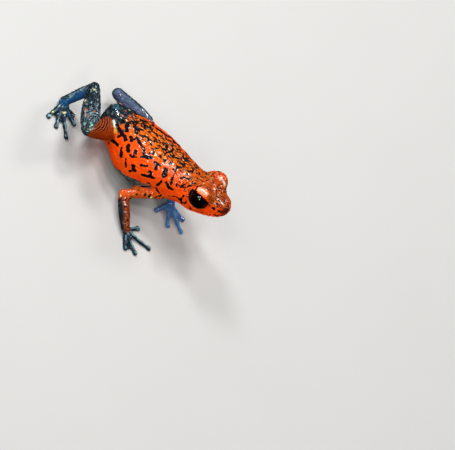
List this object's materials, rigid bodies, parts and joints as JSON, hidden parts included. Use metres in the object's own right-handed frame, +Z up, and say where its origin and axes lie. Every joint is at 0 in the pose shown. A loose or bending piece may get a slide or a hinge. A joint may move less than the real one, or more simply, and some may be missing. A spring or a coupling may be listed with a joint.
{
  "type": "strawberry poison dart frog, still museum model",
  "caption": "Life-size still model of a small walking poison dart frog, standing on its spread hands and feet.",
  "frame": {"origin": "centre of the bottom of the model's bounding box, on the floor it stands on", "axes": "+X forward, from the rump to the snout; +Y to the frog's left; +Z up from the floor"},
  "size_m": [0.0258, 0.0198, 0.011],
  "materials": {
    "orange_red_skin": "moist orange-red skin with black marks, glossy",
    "thigh_skin": "moist orange skin with thin black stripes, glossy",
    "forearm_skin": "moist black and orange-brown skin, glossy",
    "shank_skin": "granular blue-black skin, glossy",
    "tarsus_skin": "moist dark blue skin, glossy",
    "digit_skin": "blue-black skin with pale blue discs, glossy",
    "eye": "black, wet gloss"
  },
  "bodies": {
    "root": {"head": "orange_red_skin", "torso": "orange_red_skin", "eye_right": "eye", "eye_left": "eye", "upper_arm_right": "orange_red_skin", "upper_arm_left": "orange_red_skin", "forearm_right": "forearm_skin", "forearm_left": "forearm_skin", "hand_right": "digit_skin", "hand_left": "digit_skin", "thigh_right": "thigh_skin", "thigh_left": "thigh_skin", "shank_right": "shank_skin", "shank_left": "shank_skin", "tarsus_right": "tarsus_skin", "tarsus_left": "tarsus_skin", "foot_right": "digit_skin", "foot_left": "digit_skin"}
  },
  "joints": []
}
